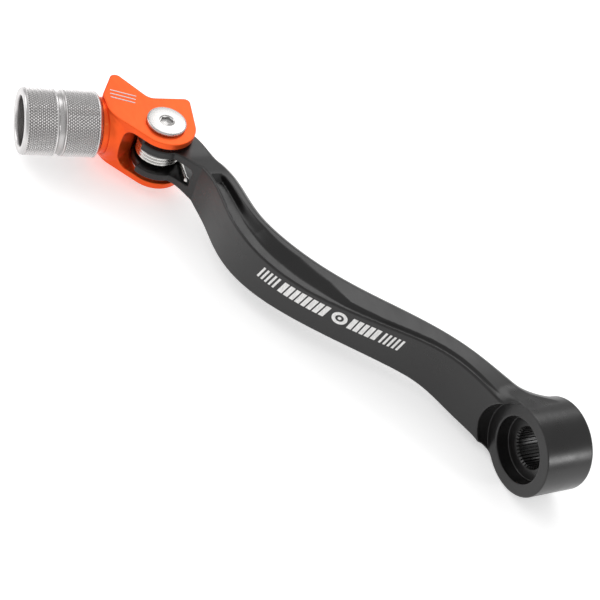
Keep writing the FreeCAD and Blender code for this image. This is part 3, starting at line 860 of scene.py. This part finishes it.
def knurled(along, angles, fade):
    """The barrel's radius where two sets of grooves cross, fade times their depth."""
    turns = angles / (2 * math.pi) * KNURL_TEETH
    climb = along / KNURL_PITCH
    crest = np.minimum(ridge(turns + climb), ridge(turns - climb))
    return BARREL_RADIUS - KNURL_DEPTH * (1 - crest) * fade


def make_barrel():
    around = KNURL_TEETH * 8
    step = KNURL_PITCH / 9
    rows = [(BARREL_START, SEAL_POCKET_RADIUS)]
    rows += [(BARREL_START + ahead, BARREL_RADIUS - inward) for ahead, inward in START_EDGE]

    def knurl_zone(start, end):
        for along in np.arange(start, end, step):
            fade = smoothstep(0, KNURL_FADE, along - start) * smoothstep(0, KNURL_FADE, end - along)
            rows.append((along, lambda angles, a=along, f=fade: knurled(a, angles, f)))

    knurl_zone(BARREL_START + 0.9, GROOVE_AT - GROOVE_HALF_WIDTH - 0.25)
    for share in np.linspace(-1, 1, 15):
        dip = GROOVE_DEPTH * math.sqrt(max(0.0, 1 - share ** 4))
        rows.append((GROOVE_AT + share * GROOVE_HALF_WIDTH, BARREL_RADIUS - 0.04 - dip))
    knurl_zone(GROOVE_AT + GROOVE_HALF_WIDTH + 0.25, BARREL_END - LIP)
    for angle in np.linspace(0, math.pi / 2, 7):
        rows.append((BARREL_END - LIP_ROUND + LIP_ROUND * math.sin(angle),
                     BARREL_RADIUS - LIP_INSET - LIP_ROUND * (1 - math.cos(angle))))
    rows += [(BARREL_END, MOUTH_RADIUS + 0.45), (BARREL_END - 0.14, MOUTH_RADIUS + 0.16),
             (BARREL_END - 0.45, MOUTH_RADIUS)]
    rows += [(along, MOUTH_RADIUS) for along in np.linspace(BARREL_END - 1.2, WEB_END + 0.5, 8)]
    rows += [(WEB_END + 0.14, MOUTH_RADIUS - 0.14), (WEB_END, MOUTH_RADIUS - 0.5),
             (WEB_END, AXLE_BUSH_RADIUS + 0.2), (WEB_END - 0.2, AXLE_BUSH_RADIUS),
             (SEAL_POCKET_END, AXLE_BUSH_RADIUS), (SEAL_POCKET_END, SEAL_POCKET_RADIUS)]
    mesh = turned("toe_barrel_body", BARREL, rows, around, closed_ring=True, sharp=40)
    add_piece("toe_barrel_body", mesh, "knurled_aluminium", "barrel", "tip_barrel")


# -------- bolts, nut and spline

PIVOT_HEAD_RADIUS = 6.4
PIVOT_HEAD_HEIGHT = 1.19
PIVOT_SOCKET_FLATS, PIVOT_SOCKET_DEPTH, PIVOT_SOCKET_RIM = 3.8, 1.2, 3.2
NUT_FLATS = 10.0
# The nut's lower end: height above it and the most that its corners reach there
NUT_CHAMFER = [(0.25, 5.5), (0.08, 5.15), (0, 4.9)]
AXLE_FOOT, AXLE_SEAT, AXLE_END = 10.0, 29.6, 33.0
AXLE_SHOULDER_RADIUS, AXLE_HEAD_RADIUS = 4.0, 6.2
AXLE_SOCKET_FLATS, AXLE_SOCKET_DEPTH, AXLE_SOCKET_RIM = 5.0, 2.4, 4.0
# Down a head's edge: how far below its top and how far inside its radius
PIVOT_HEAD_EDGE = [(0, 0.55), (0.05, 0.3), (0.18, 0.1), (0.4, 0), (0.95, 0), (1.15, 0.15), (1.19, 0.5)]
AXLE_HEAD_EDGE = [(0, 0.7), (0.15, 0.3), (0.6, 0)]


def head_rows(top, radius, edge):
    return [(top - down, radius - inward) for down, inward in edge]


def make_pivot_bolt():
    low, high = box_mm("pivot_bolt")
    top, bottom = high[2], low[2]
    rows = socket_rows(top, PIVOT_SOCKET_FLATS, PIVOT_SOCKET_DEPTH) + [(top, PIVOT_SOCKET_RIM)]
    rows += head_rows(top, PIVOT_HEAD_RADIUS, PIVOT_HEAD_EDGE)
    rows += [(top - PIVOT_HEAD_HEIGHT, BOLT_RADIUS), (bottom + 0.5, BOLT_RADIUS),
             (bottom + 0.1, BOLT_RADIUS - 0.4), (bottom, BOLT_RADIUS - 0.6), (bottom, 1.0), (bottom, 0)]
    mesh = turned("pivot_bolt_body", PIVOT_AXIS, rows, 96, sharp=30)
    add_piece("pivot_bolt_body", mesh, "plated_steel", "tip", "pivot_bolt")


def make_pivot_nut():
    low, high = box_mm("pivot_nut")
    top, bottom = high[2], low[2]
    hexagon = hexagonal(NUT_FLATS)

    def chamfered(limit):
        return lambda angles: np.minimum(hexagon(angles), limit)

    rows = [(top, BOLT_RADIUS + 0.02), (top, hexagon), (bottom + 0.42, hexagon)]
    rows += [(bottom + rise, chamfered(limit)) for rise, limit in NUT_CHAMFER]
    rows += [(bottom, BOLT_RADIUS + 0.35), (bottom + 0.3, BOLT_RADIUS + 0.02)]
    mesh = turned("pivot_nut_body", PIVOT_AXIS, rows, 144, closed_ring=True, sharp=25)
    add_piece("pivot_nut_body", mesh, "plated_steel", "tip", "pivot_nut")


def make_barrel_axle():
    rows = socket_rows(AXLE_END, AXLE_SOCKET_FLATS, AXLE_SOCKET_DEPTH)
    rows += [(AXLE_END, AXLE_SOCKET_RIM)] + head_rows(AXLE_END, AXLE_HEAD_RADIUS, AXLE_HEAD_EDGE)
    rows += [(AXLE_SEAT + 0.2, AXLE_HEAD_RADIUS), (AXLE_SEAT, AXLE_HEAD_RADIUS - 0.2),
             (AXLE_SEAT, AXLE_SHOULDER_RADIUS), (NECK_END, AXLE_SHOULDER_RADIUS),
             (NECK_END, AXLE_THREAD_RADIUS), (AXLE_FOOT + 0.4, AXLE_THREAD_RADIUS),
             (AXLE_FOOT, AXLE_THREAD_RADIUS - 0.4), (AXLE_FOOT, 0)]
    mesh = turned("barrel_axle_body", BARREL, rows, 96, sharp=30)
    add_piece("barrel_axle_body", mesh, "plated_steel", "tip", "barrel_axle")


# Over one tooth's pitch: where its two flanks start, and how wide each is
FLANK_OUT, FLANK_BACK, FLANK_WIDTH = 0.56, 0.88, 0.10


def spline_tooth(angles):
    """The hole's radius round one ring of straight-sided teeth."""
    share = (angles / (2 * math.pi) * SPLINE_TEETH) % 1
    out, back = (np.clip((share - start) / FLANK_WIDTH, 0, 1) for start in (FLANK_OUT, FLANK_BACK))
    return SPLINE_TIP_RADIUS + (SPLINE_ROOT_RADIUS - SPLINE_TIP_RADIUS) * (out - back)


def make_spline():
    def opened(least):
        return lambda angles: np.maximum(spline_tooth(angles), least)

    front, back, outer = COUNTERBORE_DEPTH - 0.03, BOSS_LENGTH - 0.02, SPLINE_SLEEVE_RADIUS + 0.25
    mouth, bevel = opened(SPLINE_ROOT_RADIUS + 0.15), opened(SPLINE_ROOT_RADIUS - 0.1)
    rows = [(front, outer), (front, mouth), (front + 0.3, bevel), (front + 0.65, spline_tooth),
            (back - 0.6, spline_tooth), (back - 0.25, bevel), (back, mouth), (back, outer)]
    mesh = turned("spline_ring", BOSS_AXIS, rows, SPLINE_TEETH * 16, closed_ring=True, sharp=25)
    add_piece("spline_ring", mesh, "black_anodised", "lever")


# -------- the fold spring

WIRE_RADIUS = 0.6
COIL_RADIUS = 6.8
COIL_TURNS = 4.25
COIL_PITCH = 1.23
COIL_LIFT = 0.1
COIL_START_ANGLE = math.radians(88)
LEG_END = (12.9, 5.9, -2.5)
LEG_BALL_RADIUS = 0.95
TIP_LEG_LENGTH = 3.4
WIRE_SIDES = 20
# A wire's plain end: its last ring's distance past it and radius, as shares of the wire's radius
END_REACH, END_TAPER = 0.3, 0.7
CAP_REACH = 0.02


def tube(name, path, radius, body, *replaced, ball=0.0):
    """A round wire of spring steel along a path of points, with an optional ball on its first end."""
    path = np.array(path, float)
    way = np.gradient(path, axis=0)
    way /= np.linalg.norm(way, axis=1)[:, None]
    side = np.cross(way[0], (0, 0, 1.0))
    if np.linalg.norm(side) < 0.1:
        side = np.cross(way[0], (1.0, 0, 0))
    sides = []
    for step in way:
        side = side - step * np.dot(side, step)
        side /= np.linalg.norm(side)
        sides.append(side)
    sides = np.array(sides)
    ups = np.cross(way, sides)
    angles = np.arange(WIRE_SIDES) / WIRE_SIDES * 2 * math.pi
    rings = []
    if ball:
        for turn in np.linspace(0.15, math.pi - math.asin(radius / ball), 9):
            centre = path[0] + way[0] * -ball * math.cos(turn)
            rings.append((centre, sides[0], ups[0], ball * math.sin(turn)))
    else:
        rings.append((path[0] - way[0] * radius * END_REACH, sides[0], ups[0], radius * END_TAPER))
    rings += [(point, s, u, radius) for point, s, u in zip(path, sides, ups)]
    rings.append((path[-1] + way[-1] * radius * END_REACH, sides[-1], ups[-1], radius * END_TAPER))
    points = [centre + (np.outer(np.cos(angles), s) + np.outer(np.sin(angles), u)) * r
              for centre, s, u, r in rings]
    caps = [rings[0][0] - way[0] * CAP_REACH, rings[-1][0] + way[-1] * CAP_REACH]
    mesh = ring_mesh(name, [caps[0][None], *points, caps[1][None]], 50)
    add_piece(name, mesh, "spring_steel", body, *replaced)


def make_spring():
    half = COIL_TURNS * COIL_PITCH / 2
    angles = np.linspace(0, COIL_TURNS * 2 * math.pi, 360)
    low = PIVOT + np.array((0, 0, -half + COIL_LIFT))

    def at(angle):
        turned_by = COIL_START_ANGLE + angle
        climb = COIL_PITCH * angle / (2 * math.pi)
        return low + np.array((COIL_RADIUS * math.cos(turned_by), COIL_RADIUS * math.sin(turned_by), climb))

    coil = np.array([at(angle) for angle in angles])
    leg_end = PIVOT + np.array(LEG_END)
    leg = np.array([leg_end + (coil[0] - leg_end) * share for share in np.linspace(0, 0.96, 26)])
    tube("fold_spring_wire", np.vstack([leg, coil]), WIRE_RADIUS, "lever", "fold_spring",
         ball=LEG_BALL_RADIUS)
    end = coil[-1] - coil[-2]
    end /= np.linalg.norm(end)
    leg = np.array([coil[-1] + end * reach for reach in np.linspace(0.1, TIP_LEG_LENGTH, 10)])
    tube("fold_spring_tip_leg", leg, WIRE_RADIUS * 0.98, "tip")


# -------- plain marks in place of the maker's

MARK_LOW = 0.3
MARK_HIGH = 5.2
MARK_SLANT = 1.3
MARK_PROUD = 0.03
MARK_DEPTH = 0.12
END_SLANT = 0.9
BAR_WIDTH = 0.72
BAR_PITCH = 1.42
BLOCK_GAP = 0.5
RING_AT = (67.9, 2.75)
RING_RADII = (2.5, 1.35)
RING_POINTS = 48
DOT_RADIUS = 0.6


def slanted(start, width, slant):
    """One slanted bar, as a list of its one outline."""
    end = start + width
    return [[(start, MARK_LOW), (end, MARK_LOW), (end + slant, MARK_HIGH), (start + slant, MARK_HIGH)]]


def bars(first, last, slant):
    return [slanted(start, BAR_WIDTH, slant) for start in np.arange(first, last, BAR_PITCH)]


def blocks(start, widths, slant):
    shapes = []
    for width in widths:
        shapes.append(slanted(start, width, slant))
        start += width + BLOCK_GAP
    return shapes


def circle(radius, angles):
    return [(RING_AT[0] + radius * math.cos(a), RING_AT[1] + radius * math.sin(a)) for a in angles]


def mark_shapes():
    """The marks on the outboard face, as outlines of (distance along the face, height)."""
    angles = np.linspace(0, 2 * math.pi, RING_POINTS + 1)[:-1]
    shapes = bars(39.5, 45.9, MARK_SLANT)
    shapes += blocks(47.3, (1.6, 1.6, 1.35, 1.6, 1.35, 1.6, 1.6, 1.6), MARK_SLANT)
    shapes += [[circle(radius, angles) for radius in RING_RADII], [circle(DOT_RADIUS, angles[::3])]]
    shapes += blocks(70.9, (1.5, 1.5, 1.3, 1.5, 1.5), END_SLANT)
    return shapes + bars(81.4, 87.9, END_SLANT)


def prisms_mesh(name, prisms):
    """One mesh of closed prisms, each given by its lower and its upper loop of points in metres."""
    work = bmesh.new()
    for low, high in prisms:
        root = [work.verts.new(point) for point in low]
        top = [work.verts.new(point) for point in high]
        work.faces.new(top)
        work.faces.new(root[::-1])
        for k in range(len(top)):
            after = (k + 1) % len(top)
            work.faces.new((root[k], root[after], top[after], top[k]))
    bmesh.ops.remove_doubles(work, verts=work.verts, dist=1e-7)
    bmesh.ops.recalc_face_normals(work, faces=work.faces)
    mesh = bpy.data.meshes.new(name)
    work.to_mesh(mesh)
    work.free()
    return mesh


def make_face_marks(shape):
    """Thin etched marks that follow the outboard face's curve."""
    curve = shape.outboard
    place = np.concatenate([[0], np.cumsum(np.linalg.norm(np.diff(curve, axis=0), axis=1))])
    way = np.gradient(curve, axis=0)
    way /= np.linalg.norm(way, axis=1)[:, None]
    outward = np.stack([way[:, 1], -way[:, 0]], 1)

    def on_face(along, height, proud):
        spot = [np.interp(along, place, curve[:, k] + proud * outward[:, k]) for k in (0, 1)]
        return Vector((*spot, height)) * MM

    prisms = []
    for loops in mark_shapes():
        if len(loops) == 2:
            corners = [(k, (k + 1) % RING_POINTS) for k in range(RING_POINTS)]
            strips = [[loops[0][k], loops[0][after], loops[1][after], loops[1][k]] for k, after in corners]
        elif len(loops[0]) == 4:
            a, b, c, d = [np.array(p) for p in loops[0]]
            cuts = np.linspace(0, 1, 4)
            strips = [[a + (b - a) * s, a + (b - a) * t, d + (c - d) * t, d + (c - d) * s]
                      for s, t in zip(cuts[:-1], cuts[1:])]
        else:
            strips = [loops[0]]
        prisms += [[[on_face(*point, proud) for point in strip] for proud in (-MARK_DEPTH, MARK_PROUD)]
                   for strip in strips]
    add_piece("arm_marks", prisms_mesh("arm_marks", prisms), "black_anodised", "lever", material=ETCHED)


# Seen from above, about the pivot: the ends of the three lines on the bracket's top
PLATE_LINES = [((-15.6, -14.2), (-12.4, -6.4)), ((-14.0, -14.6), (-10.9, -7.0)),
               ((-12.4, -14.9), (-9.4, -7.6))]
PLATE_LINE_HALF_WIDTH = 0.17
PLATE_LINE_LEVELS = (-0.1, 0.02)


def make_plate_mark():
    """Three short etched lines on the bracket's top."""
    prisms = []
    for start, end in np.array(PLATE_LINES):
        way = (end - start) / np.linalg.norm(end - start)
        side = np.array((-way[1], way[0])) * PLATE_LINE_HALF_WIDTH
        corners = [PIVOT[:2] + corner for corner in (start - side, end - side, end + side, start + side)]
        prisms.append([[Vector((*corner, BRACKET_HALF_HEIGHT + level)) * MM for corner in corners]
                       for level in PLATE_LINE_LEVELS])
    add_piece("plate_marks", prisms_mesh("plate_marks", prisms), "orange_anodised", "tip", material=ETCHED)


# -------- build the object

lever_shape = make_lever()
make_spline()
make_bracket()
make_barrel()
make_pivot_bolt()
make_pivot_nut()
make_barrel_axle()
make_spring()
make_face_marks(lever_shape)
make_plate_mark()
for row in frame["record"]["materials"]:
    for node in row.get("nodes", []):
        frame["nodes"][node].data.materials.clear()
        frame["nodes"][node].data.materials.append(SLOT_MATERIALS[row["slot"]])


# -------- floor, light and camera

FLOOR_REACH = 4.0
FLOOR_GAP = 0.0002
WORLD_STRENGTH = 0.66


def floor_material():
    """A nearly white ground that glows a little, like a studio sweep."""
    m = Nodes("pale_floor")
    cloud = m.noise(4, 3)
    base = m.blend(m.to_range(cloud, 0, 1), (0.90, 0.90, 0.90), (0.93, 0.93, 0.93))
    return m.finish(base, m.to_range(cloud, 0.7, 0.8), m.bump(cloud, 0.02, 0.0001), 0.0,
                    Specular_IOR_Level=0.2, Emission_Color=(1, 1, 1, 1), Emission_Strength=0.42)


def add_floor():
    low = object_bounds()[0]
    mesh = bpy.data.meshes.new("floor")
    corners = [(x * FLOOR_REACH, y * FLOOR_REACH, 0) for x, y in ((-1, -1), (1, -1), (1, 1), (-1, 1))]
    mesh.from_pydata(corners, [], [(0, 1, 2, 3)])
    floor = new_object("floor", mesh, floor_material())
    floor.location = (0, 0, low[2] - FLOOR_GAP)


def add_light(name, place, size, power, target=(-0.07, -0.04, 0.0)):
    data = bpy.data.lights.new(name, "AREA")
    data.shape = "RECTANGLE"
    data.size, data.size_y = size
    data.energy = power
    lamp = linked(name, data)
    lamp.location = place
    lamp.rotation_euler = (Vector(target) - lamp.location).to_track_quat("-Z", "Y").to_euler()


CAMERA_RIGHT = Vector((0.349105, 0.884017, 0.310869))
CAMERA_UP = Vector((-0.776330, 0.087044, 0.624288))
CAMERA_PLACE = Vector((0.127986, -0.213522, 0.259361))


def add_camera():
    data = bpy.data.cameras.new("camera")
    data.sensor_width = 36
    data.lens = 72
    data.clip_start = 0.01
    camera = linked("camera", data)
    turn = Matrix((CAMERA_RIGHT, CAMERA_UP, CAMERA_RIGHT.cross(CAMERA_UP))).transposed().to_4x4()
    camera.matrix_world = Matrix.Translation(CAMERA_PLACE) @ turn
    bpy.context.scene.camera = camera


add_floor()
add_light("key", (-0.55, 0.34, 0.62), (0.55, 0.45), 1.5)
add_light("side", (-0.50, -0.50, 0.40), (0.5, 0.5), 1.3)
add_light("glint", (0.36, 0.31, 0.16), (0.10, 0.07), 0.35, (0, 0, 0))
add_camera()
world = bpy.context.scene.world or bpy.data.worlds.new("world")
bpy.context.scene.world = world
world.use_nodes = True
background = world.node_tree.nodes["Background"]
background.inputs["Color"].default_value = (1, 1, 1, 1)
background.inputs["Strength"].default_value = WORLD_STRENGTH
bpy.context.scene.view_settings.view_transform = "Standard"
